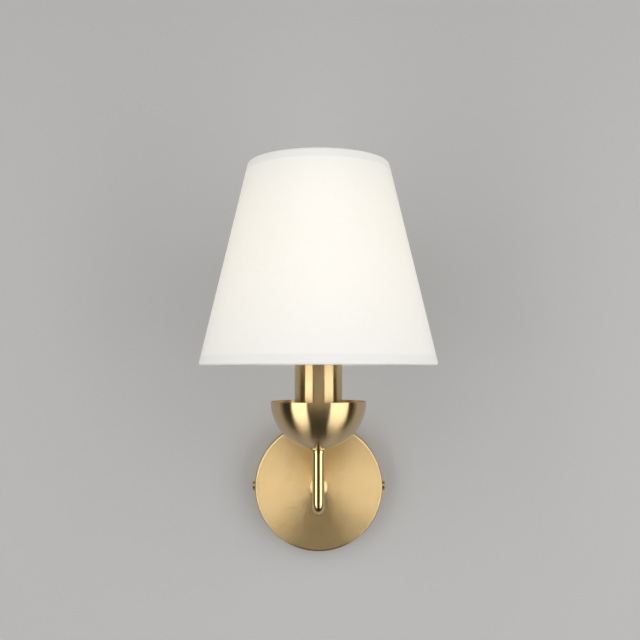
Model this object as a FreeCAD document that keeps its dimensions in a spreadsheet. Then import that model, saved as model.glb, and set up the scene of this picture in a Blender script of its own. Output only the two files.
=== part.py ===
import FreeCAD, Part
import math
import os
import Sketcher
from FreeCAD import Rotation, Vector

# A brass wall light with a lit fabric shade.
#
# Frame: the origin lies on the wall, behind the middle of the round backplate.
# +X is to the right, +Y goes into the wall and +Z is up. The arm leaves the backplate
# along -Y, turns up, and carries the cup, the candle sleeve, the lampholder and the
# shade on one upright line, the lamp axis.

SIZES = [
    # name, millimetres (or a count, or degrees), what it measures
    ("plate_dia", 127, "backplate, across"),
    ("plate_depth", 22, "backplate, wall to front face"),
    ("plate_wall", 1, "backplate, sheet"),
    ("plate_edge", 2, "backplate, outer radius of the front edge"),
    ("axis_out", 160, "wall to lamp axis"),
    ("arm_rise", 50, "arm line up to the underside of the cup"),
    ("arm_dia", 10, "arm tube, outside"),
    ("arm_bore", 8, "arm tube, inside"),
    ("arm_bend", 7, "arm tube, bend radius of the centreline"),
    ("arm_tail", 14.5, "wall to the arm's end inside the backplate"),
    ("arm_above", 16, "arm tube, length above the underside of the cup"),
    ("hole_clear", 0.2, "hole round the arm, radial clearance"),
    ("thread_clear", 0.05, "nut on its thread, radial clearance"),
    ("collar_dia", 17, "collar, across its flange"),
    ("collar_edge", 0.4, "collar, edge of the flange"),
    ("collar_cone", 1.5, "collar, height of the cone"),
    ("collar_ring_dia", 11.2, "collar, across its ring"),
    ("collar_ring", 1.8, "collar, height of the ring"),
    ("backing_dia", 32, "washer behind the backplate, across"),
    ("backing_thick", 1.5, "washer behind the backplate"),
    ("lock_dia", 18, "toothed washers, across"),
    ("lock_thick", 0.8, "toothed washers, thickness"),
    ("nut_flats", 14, "arm nut, across flats"),
    ("nut_thick", 3.5, "arm nut, thickness"),
    ("bush_wall", 1, "bush in the arm's end, wall"),
    ("bush_length", 6, "bush in the arm's end, length inside the tube"),
    ("cup_dia", 80, "cup, across"),
    ("cup_wall", 1, "cup, sheet"),
    ("spacer_dia", 24, "spacer in the cup, across"),
    ("spacer_top", 7, "spacer, underside of the cup to its top"),
    ("sleeve_dia", 40, "candle sleeve, outside"),
    ("sleeve_wall", 0.8, "candle sleeve, wall"),
    ("sleeve_base", 1, "candle sleeve, floor"),
    ("sleeve_bevel", 1, "candle sleeve, bevel round the floor"),
    ("sleeve_length", 109, "candle sleeve, floor to top"),
    ("coupler_flats", 13, "long nut, across flats"),
    ("coupler_length", 16, "long nut, length"),
    ("stem_bore", 7, "stem, inside"),
    ("stem_gap", 0.5, "gap between the arm's end and the stem"),
    ("stem_short", 1.5, "stem's end down from the floor of the lampholder cap"),
    ("holder_height", 60, "lampholder, boss to rim"),
    ("holder_rim", 16, "lampholder, sleeve top to rim"),
    ("holder_dia", 37, "lampholder, across inside the sleeve"),
    ("holder_bore", 33.4, "lampholder, inside"),
    ("flange_dia", 46, "lampholder flange, across"),
    ("flange_thick", 2, "lampholder flange, thickness"),
    ("skirt_dia", 39.4, "lampholder's threaded skirt, across"),
    ("lip_bore", 28.6, "lampholder's rim, hole"),
    ("lip_thick", 2, "lampholder's rim, thickness"),
    ("boss_dia", 16, "lampholder boss, across"),
    ("boss_height", 9, "lampholder boss, height"),
    ("boss_floor", 12.5, "lampholder boss, foot to the floor of the cap"),
    ("cap_dome", 9, "lampholder cap, height of its slope"),
    ("cap_slope_top", 19, "lampholder boss, foot to the top of the cap's inner slope"),
    ("cap_height", 24, "lampholder cap, height to the joint"),
    ("spigot_height", 3, "lampholder cap, spigot into the shell"),
    ("spigot_wall", 1.5, "lampholder cap, wall of the spigot"),
    ("spigot_clear", 0.1, "lampholder cap, spigot to shell"),
    ("grub_dia", 3, "grub screw"),
    ("grub_height", 4.5, "boss foot up to the grub screw"),
    ("core_thick", 3, "lampholder core, flange"),
    ("core_stub", 6, "lampholder core, part below the flange"),
    ("core_clear", 0.2, "lampholder core, radial clearance"),
    ("lead_hole_out", 7, "lampholder core, lamp axis to each lead hole"),
    ("lead_hole_dia", 2.5, "lampholder core, lead holes"),
    ("lead_hole_deep", 4, "lampholder core, depth of the lead holes"),
    ("contact_rise", 2.2, "middle contact, height"),
    ("contact_thick", 0.5, "middle contact, strip"),
    ("contact_width", 4, "middle contact, width"),
    ("contact_foot", 5.5, "middle contact, lamp axis to the end of its foot"),
    ("contact_heel", 3.2, "middle contact, lamp axis to where it rises"),
    ("contact_crown", 1.5, "middle contact, half the length of its top"),
    ("socket_bore", 26.8, "screw shell of the lampholder, inside"),
    ("socket_wall", 0.4, "screw shell of the lampholder, sheet"),
    ("socket_height", 25, "screw shell of the lampholder, height"),
    ("socket_eye", 14, "screw shell of the lampholder, hole in its floor"),
    ("joint_gap", 0.3, "gap between pieces that turn on each other"),
    ("bulb_length", 106, "bulb, tip to top"),
    ("bulb_dia", 60, "bulb, across the globe"),
    ("bulb_wall", 1, "bulb, globe wall"),
    ("bulb_seam_dia", 54, "bulb, across the joint of globe and body"),
    ("bulb_cap_dia", 26.2, "bulb, across the screw cap"),
    ("bulb_cap_wall", 0.5, "bulb, sheet of the screw cap"),
    ("bulb_cap_top", 27, "bulb, tip to the top of the screw cap"),
    ("bulb_cap_fold", 3, "bulb, rim of the screw cap folded under the insulator"),
    ("bulb_plug", 7, "bulb, length of the body inside the screw cap"),
    ("bulb_neck_dia", 27.2, "bulb, across the neck"),
    ("bulb_neck", 4, "bulb, height of the neck"),
    ("bulb_flare", 60, "bulb, radius of the flare"),
    ("bulb_body_wall", 1.5, "bulb, wall of the body"),
    ("bulb_ledge", 1.5, "bulb, ledge under the board"),
    ("board_thick", 1.6, "bulb, light board"),
    ("tip_dia", 9, "bulb, across the tip contact"),
    ("tip_height", 1.5, "bulb, height of the tip contact"),
    ("insulator_dia", 21, "bulb, across the insulator"),
    ("insulator_height", 3, "bulb, height of the insulator"),
    ("insulator_lip", 1, "bulb, insulator past the tip contact"),
    ("shade_gap", 30, "cup rim up to the shade's lower edge"),
    ("shade_height", 170, "shade, height"),
    ("shade_top_dia", 120, "shade, across the top edge"),
    ("shade_low_dia", 200, "shade, across the lower edge"),
    ("fabric_thick", 0.6, "shade fabric"),
    ("liner_thick", 0.4, "shade liner"),
    ("layer_gap", 0.1, "gap between the shade's layers"),
    ("wire_dia", 2.6, "shade frame wire"),
    ("hem_wrap", 35, "hem, degrees that the fabric goes past the wire's inner side"),
    ("hem_tuck", 5.5, "hem, wire to the raw edge"),
    ("hem_snip", 4.5, "hem, height of the snip for each arm"),
    ("liner_stop", 1.8, "liner edge to the wire's middle"),
    ("fitter_bore", 42, "shade fitter ring, hole"),
    ("fitter_dia", 55, "shade fitter ring, across"),
    ("fitter_thick", 1.5, "shade fitter ring, sheet"),
    ("fitter_rim", 4, "shade fitter ring, height of the rim"),
    ("fitter_arms", 3, "shade frame, arms"),
    ("arm_slit", 0.25, "hem, clearance round an arm"),
    ("ring_dia", 50, "shade ring, across"),
    ("ring_height", 8, "shade ring, height"),
    ("ring_flutes", 20, "shade ring, grip grooves"),
    ("ring_flute_dia", 2, "shade ring, grip groove"),
    ("bracket_thick", 1.5, "wall bracket, sheet"),
    ("bracket_width", 18, "wall bracket, height of the strap"),
    ("bracket_bend", 1, "wall bracket, inside radius of its bends"),
    ("bracket_ear", 19, "wall bracket, wall to the ends of its ears"),
    ("bracket_clear", 0.3, "wall bracket to the backplate"),
    ("tongue_width", 34, "wall bracket, width of the tongue"),
    ("tongue_up", 40, "wall bracket, tongue above the middle"),
    ("tongue_down", 27, "wall bracket, tongue below the middle"),
    ("tongue_corner", 4, "wall bracket, corners of the tongue"),
    ("slot_spacing", 70, "wall slots, middle to middle"),
    ("slot_length", 10, "wall slots, end to end"),
    ("slot_width", 5, "wall slots, width"),
    ("cable_hole", 14, "cable hole, across"),
    ("cable_drop", 17, "middle of the bracket down to the cable hole"),
    ("earth_out", 24, "middle of the bracket out to the earth screw"),
    ("earth_dia", 4, "earth screw, shank"),
    ("earth_head", 7.6, "earth screw, head"),
    ("head_thick", 2.2, "earth and block screws, thickness of the head"),
    ("head_slot", 0.8, "earth and block screws, width of the slot"),
    ("tag_dia", 8, "earth tag, across"),
    ("tag_thick", 0.8, "earth tag, sheet"),
    ("tag_width", 3, "earth tag, width of its neck"),
    ("barrel_low", 5, "earth screw up to the tag's barrel"),
    ("barrel_length", 5, "earth tag, length of the barrel"),
    ("barrel_wall", 0.5, "earth tag, wall of the barrel"),
    ("screw_rise", 11, "wall to the side screws"),
    ("screw_dia", 4, "side screws, shank"),
    ("screw_length", 9, "side screws, length under the head"),
    ("screw_hole", 4.6, "backplate, holes for the side screws"),
    ("knob_dia", 9.2, "side screws, across the head"),
    ("knob_thick", 2.4, "side screws, thickness of the head"),
    ("knob_bevel", 0.5, "side screws, bevel of the head"),
    ("knob_flutes", 12, "side screws, grip grooves"),
    ("knob_flute_dia", 1.2, "side screws, grip groove"),
    ("block_rise", 16, "middle of the bracket up to the terminal block"),
    ("block_height", 17, "terminal block, height"),
    ("block_depth", 13, "terminal block, depth"),
    ("pole_pitch", 9, "terminal block, pole to pole"),
    ("pole_bore", 4.4, "terminal block, square wire bores, across"),
    ("groove_width", 1.6, "terminal block, grooves between poles"),
    ("groove_deep", 4, "terminal block, depth of those grooves"),
    ("insert_length", 14, "terminal cage, length"),
    ("insert_wall", 0.6, "terminal cage, wall"),
    ("insert_clear", 0.05, "terminal cage in its bore, clearance on each side"),
    ("clamp_pitch", 9, "clamp screws of one pole, middle to middle"),
    ("clamp_dia", 2.4, "clamp screws, across"),
    ("clamp_sunk", 1.5, "clamp screws, depth below the block's face"),
    ("block_screw_dia", 3, "screw of the terminal block, shank"),
    ("block_screw_head", 5.4, "screw of the terminal block, head"),
    ("lead_dia", 2.2, "leads, over the insulation"),
    ("lead_out", 1.4, "arm's centreline to each lead"),
    ("lead_bend", 5, "leads, bend radius behind the backplate"),
    ("lead_turn", 3, "leads, radius of the slight turns"),
    ("lead_in", 5, "leads, length inside the terminal block"),
]


class Size:
    """A number together with its expression in the sheet's cells."""

    def __init__(self, value, text):
        self.value = float(value)
        self.text = text

    def __add__(self, other):
        other = as_size(other)
        return Size(self.value + other.value, f"({self.text} + {other.text})")

    def __sub__(self, other):
        other = as_size(other)
        return Size(self.value - other.value, f"({self.text} - {other.text})")

    def __rsub__(self, other):
        return as_size(other) - self

    def __mul__(self, other):
        other = as_size(other)
        return Size(self.value * other.value, f"({self.text} * {other.text})")

    def __truediv__(self, other):
        other = as_size(other)
        return Size(self.value / other.value, f"({self.text} / {other.text})")

    def __neg__(self):
        return Size(-self.value, f"(0 - {self.text})")


ZERO = Size(0, "0")


def as_size(item):
    """Take a plain number as a size that follows no cell."""
    if isinstance(item, Size):
        return item
    return ZERO if item == 0 else Size(item, f"({float(item)})")


def root(size):
    return Size(math.sqrt(size.value), f"sqrt({size.text})")


def cosine(size):
    return Size(math.cos(math.radians(size.value)), f"cos({size.text} * 1 deg)")


def sine(size):
    return Size(math.sin(math.radians(size.value)), f"sin({size.text} * 1 deg)")


def chord(radius, half_width):
    """How far a circle's edge lies from its middle, at half_width to one side."""
    return root(radius * radius - half_width * half_width)


def fill_sheet(sheet):
    """Write each size into its own named cell and give them back as Size objects."""
    for row, (name, number, note) in enumerate(SIZES, start=1):
        sheet.set(f"A{row}", name)
        sheet.set(f"B{row}", str(number))
        sheet.setAlias(f"B{row}", name)
        sheet.set(f"C{row}", note)
    doc.recompute()
    return {name: Size(sheet.get(name), f"Sizes.{name}") for name, number, note in SIZES}


doc = FreeCAD.newDocument("wall_light")
size = fill_sheet(doc.addObject("Spreadsheet::Sheet", "Sizes"))

# Levels on the lamp axis, counted up from the arm's centreline.
ARM_R = size["arm_dia"] / 2
HOLE_R = ARM_R + size["hole_clear"]
THREAD_R = ARM_R + size["thread_clear"]
WIRE_R = size["wire_dia"] / 2
LEAD_R = size["lead_dia"] / 2
CUP_R = size["cup_dia"] / 2
CUP_INNER_R = CUP_R - size["cup_wall"]
CUP_RIM = size["arm_rise"] + CUP_R
ARM_TOP = size["arm_rise"] + size["arm_above"]
SLEEVE_LOW = size["arm_rise"] + size["spacer_top"]
SLEEVE_TOP = SLEEVE_LOW + size["sleeve_length"]
SLEEVE_FLOOR = SLEEVE_LOW + size["sleeve_base"]
COUPLER_LOW = SLEEVE_FLOOR + size["lock_thick"]
FLANGE_TOP = SLEEVE_TOP + size["flange_thick"]
HOLDER_TOP = SLEEVE_TOP + size["holder_rim"]
HOLDER_LOW = HOLDER_TOP - size["holder_height"]
CAP_FLOOR = HOLDER_LOW + size["boss_floor"]
CAP_JOINT = HOLDER_LOW + size["cap_height"]
SPIGOT_TOP = CAP_JOINT + size["spigot_height"]
SPIGOT_R = size["holder_bore"] / 2 - size["spigot_clear"]
STUB_LOW = SPIGOT_TOP - size["core_stub"]
CORE_TOP = SPIGOT_TOP + size["core_thick"]
STEM_TOP = CAP_FLOOR - size["stem_short"]
BULB_LOW = CORE_TOP + size["contact_rise"] + size["joint_gap"]
BULB_CAP_TOP = BULB_LOW + size["bulb_cap_top"]
GLOBE_R = size["bulb_dia"] / 2
GLOBE_MIDDLE = BULB_LOW + size["bulb_length"] - GLOBE_R
SEAM_R = size["bulb_seam_dia"] / 2
SEAM = GLOBE_MIDDLE - chord(GLOBE_R, SEAM_R)
FITTER_LOW = FLANGE_TOP + size["joint_gap"]
RING_LOW = FITTER_LOW + size["fitter_thick"] + size["joint_gap"]
SHADE_LOW = CUP_RIM + size["shade_gap"]
SHADE_TOP = SHADE_LOW + size["shade_height"]

# Depths behind the backplate's face, counted along Y. The wall is 0 and the room is minus.
PLATE_R = size["plate_dia"] / 2
PLATE_FACE = -size["plate_depth"]
PLATE_BACK = PLATE_FACE + size["plate_wall"]
BACKING_BACK = PLATE_BACK + size["backing_thick"]
LOCK_BACK = BACKING_BACK + size["lock_thick"]
BRACKET_FACE = -size["bracket_thick"]
BLOCK_FACE = BRACKET_FACE - size["block_depth"]
POLE_LINE = BRACKET_FACE - size["block_depth"] / 2
BLOCK_MIDDLE = size["block_rise"] + size["block_height"] / 2
BLOCK_SCREW_X = -size["pole_pitch"] / 2
POLES = (-1, 0, 1)
CLAMPS = [(pole, way) for pole in POLES for way in (-1, 1)]


def corner(x, y, rounding=None, arc=None):
    """A corner of an outline.

    rounding is the radius that rounds it. arc is the radius of the edge that leaves it,
    plus where that edge turns left and minus where it turns right.
    """
    return {"x": as_size(x), "y": as_size(y), "rounding": rounding, "arc": arc}


class Drawing:
    """Collects the geometry of one sketch and the constraints that tie it to the sheet."""

    def __init__(self, body, role, name, offset=None):
        self.sketch = body.newObject("Sketcher::SketchObject", f"{body.Name}_{name}")
        plane = [item for item in body.Origin.OriginFeatures if item.Role == role][0]
        self.sketch.AttachmentSupport = [(plane, "")]
        self.sketch.MapMode = "FlatFace"
        if offset is not None:
            self.sketch.setExpression("AttachmentOffset.Base.z", offset.text)
        self.shapes = []
        self.limits = []
        self.formulas = []

    def add(self, shape, construction=False):
        self.shapes.append((shape, construction))
        return len(self.shapes) - 1

    def limit(self, *terms):
        self.limits.append(Sketcher.Constraint(*terms))

    def measure(self, kind, *terms, to):
        self.limit(kind, *terms, to.value)
        self.formulas.append((len(self.limits) - 1, to.text))

    def pin(self, shape, point, x, y):
        """Hold a point at x, y."""
        for kind, place, axis in (("DistanceX", x, -2), ("DistanceY", y, -1)):
            if place is ZERO:
                self.limit("PointOnObject", shape, point, axis)
            else:
                self.measure(kind, -1, 1, shape, point, to=place)

    def circle(self, x, y, radius):
        x, y = as_size(x), as_size(y)
        centre = Vector(x.value, y.value, 0)
        shape = self.add(Part.Circle(centre, Vector(0, 0, 1), radius.value))
        self.pin(shape, 3, x, y)
        self.measure("Radius", shape, to=radius)

    def edge(self, start, end, arc):
        """Draw one edge and return its number and the names of its two ends."""
        if arc is None:
            return self.add(Part.LineSegment(start, end)), 1, 2
        radius = abs(arc.value)
        half = (end - start) * 0.5
        side = Vector(-half.y, half.x, 0).normalize() * math.copysign(1, arc.value)
        middle = start + half + side * math.sqrt(max(radius**2 - half.Length**2, 0))
        first, last = (start, end) if arc.value > 0 else (end, start)
        angles = [math.atan2(p.y - middle.y, p.x - middle.x) for p in (first, last)]
        round_edge = Part.Circle(middle, Vector(0, 0, 1), radius)
        shape = self.add(Part.ArcOfCircle(round_edge, *angles))
        self.measure("Radius", shape, to=arc if arc.value > 0 else -arc)
        return (shape, 1, 2) if arc.value > 0 else (shape, 2, 1)

    def outline(self, corners, closed=True):
        """Draw the edges from corner to corner, round the corners that ask for it, and pin them."""
        count = len(corners)
        places = [Vector(c["x"].value, c["y"].value, 0) for c in corners]
        arrive, leave = list(places), list(places)
        for i, c in enumerate(corners):
            if c["rounding"] is None:
                continue
            before = (places[i - 1] - places[i]).normalize()
            after = (places[(i + 1) % count] - places[i]).normalize()
            reach = c["rounding"].value / math.tan(before.getAngle(after) / 2)
            arrive[i] = places[i] + before * reach
            leave[i] = places[i] + after * reach
        last = count if closed else count - 1
        edges = []
        for i in range(last):
            edges.append(self.edge(leave[i], arrive[(i + 1) % count], corners[i]["arc"]))
        for i, c in enumerate(corners):
            before = edges[i - 1] if closed or i > 0 else None
            after = edges[i] if closed or i < last else None
            if c["rounding"] is not None:
                self.round_corner(c, places[i], arrive[i], leave[i], before, after)
                continue
            if before and after:
                self.limit("Coincident", before[0], before[2], after[0], after[1])
            shape, point = (after[0], after[1]) if after else (before[0], before[2])
            self.pin(shape, point, c["x"], c["y"])

    def round_corner(self, c, place, arrive, leave, before, after):
        """Join two straight edges by a tangent arc, and keep the sharp corner as a point."""
        turn = (place - arrive).cross(leave - place).z
        arc = c["rounding"] if turn > 0 else -c["rounding"]
        shape, first, last = self.edge(arrive, leave, arc)
        self.limit("Tangent", before[0], before[2], shape, first)
        self.limit("Tangent", shape, last, after[0], after[1])
        sharp = self.add(Part.Point(place), construction=True)
        self.limit("PointOnObject", sharp, 1, before[0])
        self.limit("PointOnObject", sharp, 1, after[0])
        self.pin(sharp, 1, c["x"], c["y"])

    def finish(self):
        for shape, construction in self.shapes:
            self.sketch.addGeometry(shape, construction)
        self.sketch.addConstraint(self.limits)
        for index, text in self.formulas:
            self.sketch.setExpression(f"Constraints[{index}]", text)
        return self.sketch


def slot_corners(x, y, length, width):
    """A round-ended slot that lies along the sketch's first axis."""
    radius = width / 2
    half = length / 2 - radius
    return [
        corner(x + half, y - radius, arc=radius),
        corner(x + half + radius, y, arc=radius),
        corner(x + half, y + radius),
        corner(x - half, y + radius, arc=radius),
        corner(x - half - radius, y, arc=radius),
        corner(x - half, y - radius),
    ]


def box_corners(x, y, width, height, rounding=None):
    """A rectangle with its middle at x, y."""
    x, y = as_size(x), as_size(y)
    ways = ((-1, -1), (1, -1), (1, 1), (-1, 1))
    return [corner(x + width / 2 * i, y + height / 2 * j, rounding) for i, j in ways]


def hexagon_corners(flats):
    """A nut's outline, with two of its flats upright."""
    half = flats / 2
    tall = flats / root(as_size(3))
    short = tall / 2
    return [
        corner(half, -short),
        corner(half, short),
        corner(0, tall),
        corner(-half, short),
        corner(-half, -short),
        corner(0, -tall),
    ]


def place(item, x=ZERO, y=ZERO, z=ZERO):
    for way, value in (("x", x), ("y", y), ("z", z)):
        if value is not ZERO:
            item.setExpression(f"Placement.Base.{way}", value.text)


def new_body(name, x=ZERO, y=ZERO, z=ZERO):
    body = doc.addObject("PartDesign::Body", name)
    place(body, x, y, z)
    return body


# Axis of turning: the sketch's plane, the sketch's own axis, and where that axis lies along Y.
TURNING = {
    "lamp": ("XZ_Plane", "V_Axis", -size["axis_out"]),
    "arm": ("XY_Plane", "V_Axis", ZERO),
    "side": ("XY_Plane", "H_Axis", -size["screw_rise"]),
}


def turned(name, axis, corners):
    """A piece turned about the lamp axis, the arm's axis at the wall, or the side screws' axis."""
    role, line, depth = TURNING[axis]
    body = new_body(name, y=depth)
    drawing = Drawing(body, role, "profile")
    drawing.outline(corners)
    feature = body.newObject("PartDesign::Revolution", f"{name}_turned")
    feature.Profile = drawing.finish()
    feature.ReferenceAxis = (drawing.sketch, [line])
    feature.Angle = 360
    return body


def extrude(body, kind, drawing, length=None, both=False, back=False):
    """Pad or Pocket a drawing along its own direction, through everything where length is None."""
    sketch = drawing.finish()
    feature = body.newObject(f"PartDesign::{kind}", f"{sketch.Name}_{kind.lower()}")
    feature.Profile = sketch
    if length is None:
        feature.Type = "ThroughAll"
    else:
        feature.setExpression("Length", length.text)
    feature.SideType = "Symmetric" if both else "One side"
    feature.Reversed = back
    return feature


def repeat_round(body, feature, sketch, axis, count):
    """Repeat a cut round an axis of its own body."""
    pattern = body.newObject("PartDesign::PolarPattern", f"{feature.Name}_pattern")
    pattern.Originals = [feature]
    pattern.Axis = (sketch, [axis])
    pattern.Angle = 360
    pattern.setExpression("Occurrences", count.text)
    body.Tip = pattern
    return pattern


def ring_corners(inner, outer, low, high):
    """A plain ring's section about an upright axis."""
    return [corner(inner, low), corner(outer, low), corner(outer, high), corner(inner, high)]


def make_backplate():
    """A spun brass dish, open to the wall, with a hole for the arm and one for each side screw."""
    wall = size["plate_wall"]
    body = turned("backplate", "arm", [
        corner(HOLE_R, PLATE_FACE),
        corner(PLATE_R, PLATE_FACE, rounding=size["plate_edge"]),
        corner(PLATE_R, 0),
        corner(PLATE_R - wall, 0),
        corner(PLATE_R - wall, PLATE_BACK),
        corner(HOLE_R, PLATE_BACK),
    ])
    holes = Drawing(body, "YZ_Plane", "side_holes")
    holes.circle(-size["screw_rise"], 0, size["screw_hole"] / 2)
    extrude(body, "Pocket", holes, both=True)


def make_wall_bracket():
    """A strap bent up at both ends into ears, with an upright tongue for the terminal block."""
    body = new_body("wall_bracket")
    thick = size["bracket_thick"]
    bend = size["bracket_bend"]
    reach = chord(PLATE_R - size["plate_wall"], size["bracket_width"] / 2) - size["bracket_clear"]
    strap = Drawing(body, "XY_Plane", "strap")
    strap.outline([
        corner(-reach, 0, rounding=bend + thick),
        corner(-reach, -size["bracket_ear"]),
        corner(thick - reach, -size["bracket_ear"]),
        corner(thick - reach, -thick, rounding=bend),
        corner(reach - thick, -thick, rounding=bend),
        corner(reach - thick, -size["bracket_ear"]),
        corner(reach, -size["bracket_ear"]),
        corner(reach, 0, rounding=bend + thick),
    ])
    extrude(body, "Pad", strap, size["bracket_width"], both=True)
    up, down = size["tongue_up"], size["tongue_down"]
    tongue = Drawing(body, "XZ_Plane", "tongue")
    tongue.outline(box_corners(0, (up - down) / 2, size["tongue_width"], up + down, size["tongue_corner"]))
    extrude(body, "Pad", tongue, thick)
    holes = Drawing(body, "XZ_Plane", "wall_holes")
    for side in (-1, 1):
        middle = size["slot_spacing"] / 2 * side
        holes.outline(slot_corners(middle, ZERO, size["slot_length"], size["slot_width"]))
    holes.circle(0, -size["cable_drop"], size["cable_hole"] / 2)
    holes.circle(-size["earth_out"], 0, size["earth_dia"] / 2 + size["thread_clear"])
    holes.circle(BLOCK_SCREW_X, BLOCK_MIDDLE, size["block_screw_dia"] / 2 + size["thread_clear"])
    extrude(body, "Pocket", holes, both=True)
    threads = Drawing(body, "YZ_Plane", "ear_threads")
    threads.circle(-size["screw_rise"], 0, size["screw_dia"] / 2 + size["thread_clear"])
    extrude(body, "Pocket", threads, both=True)


def make_side_screw(name, side):
    """A low thumb screw with a grooved rim, whose head stands a hair off the backplate."""
    shank = size["screw_dia"] / 2
    knob = size["knob_dia"] / 2
    bevel = size["knob_bevel"]
    seat = PLATE_R + size["joint_gap"]
    tip = seat - size["screw_length"]
    cap = seat + size["knob_thick"]
    body = turned(name, "side", [
        corner(tip * side, 0),
        corner(tip * side, shank),
        corner(seat * side, shank),
        corner(seat * side, knob),
        corner((cap - bevel) * side, knob),
        corner(cap * side, knob - bevel),
        corner(cap * side, 0),
    ])
    flute = Drawing(body, "YZ_Plane", "flute", offset=seat * side)
    flute.circle(0, knob + size["knob_flute_dia"] / 4, size["knob_flute_dia"] / 2)
    groove = extrude(body, "Pocket", flute, size["knob_thick"], back=(side > 0))
    repeat_round(body, groove, flute.sketch, "N_Axis", size["knob_flutes"])


def make_terminal_block():
    """A moulded three-pole block: one wire bore and two clamp holes to each pole."""
    body = new_body("terminal_block")
    pitch = size["pole_pitch"]
    bore = size["pole_bore"]
    groove = size["groove_width"] / 2
    half = pitch * len(POLES) / 2
    notch = BLOCK_FACE + size["groove_deep"]
    corners = [corner(-half, BRACKET_FACE), corner(-half, BLOCK_FACE)]
    for way in (-1, 1):
        middle = pitch / 2 * way
        corners += [
            corner(middle - groove, BLOCK_FACE),
            corner(middle - groove, notch),
            corner(middle + groove, notch),
            corner(middle + groove, BLOCK_FACE),
        ]
    corners += [corner(half, BLOCK_FACE), corner(half, BRACKET_FACE)]
    outline = Drawing(body, "XY_Plane", "outline", offset=size["block_rise"])
    outline.outline(corners)
    extrude(body, "Pad", outline, size["block_height"])
    bores = Drawing(body, "XY_Plane", "wire_bores", offset=size["block_rise"])
    for pole in POLES:
        bores.outline(box_corners(pitch * pole, POLE_LINE, bore, bore))
    extrude(body, "Pocket", bores, size["block_height"], back=True)
    clamps = Drawing(body, "XZ_Plane", "clamp_holes", offset=-POLE_LINE)
    for pole, way in CLAMPS:
        middle = BLOCK_MIDDLE + size["clamp_pitch"] / 2 * way
        clamps.circle(pitch * pole, middle, size["clamp_dia"] / 2 + size["thread_clear"])
    extrude(body, "Pocket", clamps, size["block_depth"], back=True)
    fixing = Drawing(body, "XZ_Plane", "fixing_hole")
    fixing.circle(BLOCK_SCREW_X, BLOCK_MIDDLE, size["block_screw_dia"] / 2 + size["hole_clear"])
    extrude(body, "Pocket", fixing, both=True)
    sink = Drawing(body, "XZ_Plane", "fixing_sink", offset=-notch)
    sink.circle(BLOCK_SCREW_X, BLOCK_MIDDLE, size["block_screw_head"] / 2 + size["hole_clear"])
    extrude(body, "Pocket", sink, size["groove_deep"], back=True)


def make_terminal_inserts():
    """Three square brass cages in the block's wire bores, each tapped for its two clamp screws."""
    cages = []
    outer = size["pole_bore"] - size["insert_clear"] * 2
    inner = outer - size["insert_wall"] * 2
    for pole in POLES:
        body = new_body(f"terminal_cage_{pole + 2}", x=size["pole_pitch"] * pole, y=POLE_LINE)
        low = BLOCK_MIDDLE - size["insert_length"] / 2
        tube = Drawing(body, "XY_Plane", "section", offset=low)
        tube.outline(box_corners(0, 0, outer, outer))
        tube.outline(box_corners(0, 0, inner, inner))
        extrude(body, "Pad", tube, size["insert_length"])
        holes = Drawing(body, "XZ_Plane", "clamp_holes")
        for way in (-1, 1):
            middle = BLOCK_MIDDLE + size["clamp_pitch"] / 2 * way
            holes.circle(0, middle, size["clamp_dia"] / 2 + size["thread_clear"])
        extrude(body, "Pocket", holes, outer, back=True)
        cages.append(body)
    group("terminal_inserts", cages)


def cylinder(name, radius, height, x=ZERO, y=ZERO, z=ZERO, turn=Rotation()):
    item = doc.addObject("Part::Cylinder", name)
    item.setExpression("Radius", radius.text)
    item.setExpression("Height", height.text)
    item.Placement.Rotation = turn
    place(item, x, y, z)
    return item


def group(name, items):
    """Several separate pieces that share one name."""
    compound = doc.addObject("Part::Compound", name)
    compound.Links = items
    return compound


def cut(name, base, tool):
    item = doc.addObject("Part::Cut", name)
    item.Base = base
    item.Tool = tool
    return item


def make_terminal_screws():
    """Six headless clamp screws, each sunk in the block with its tip on its lead."""
    to_room = Rotation(Vector(1, 0, 0), 90)
    tip = POLE_LINE - LEAD_R - size["thread_clear"]
    length = tip - BLOCK_FACE - size["clamp_sunk"]
    screws = []
    for number, (pole, way) in enumerate(CLAMPS, start=1):
        z = BLOCK_MIDDLE + size["clamp_pitch"] / 2 * way
        screws.append(cylinder(f"terminal_screw_{number}", size["clamp_dia"] / 2, length,
                               size["pole_pitch"] * pole, tip, z, to_room))
    group("terminal_screws", screws)


def make_pan_screw(name, shank, head, seat, x, z):
    """A machine screw with a bevelled, slotted head, driven towards the wall."""
    body = new_body(name, x=x, z=z)
    tip = -size["hole_clear"]
    top = seat - size["head_thick"]
    bevel = size["head_thick"] / 2
    profile = Drawing(body, "XY_Plane", "profile")
    profile.outline([
        corner(0, tip),
        corner(0, top),
        corner(head - bevel, top),
        corner(head, top + bevel),
        corner(head, seat),
        corner(shank, seat),
        corner(shank, tip),
    ])
    feature = body.newObject("PartDesign::Revolution", f"{name}_turned")
    feature.Profile = profile.finish()
    feature.ReferenceAxis = (profile.sketch, ["V_Axis"])
    feature.Angle = 360
    slot = Drawing(body, "XZ_Plane", "slot", offset=-top)
    slot.outline(box_corners(0, 0, head * 3, size["head_slot"]))
    extrude(body, "Pocket", slot, bevel)


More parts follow.
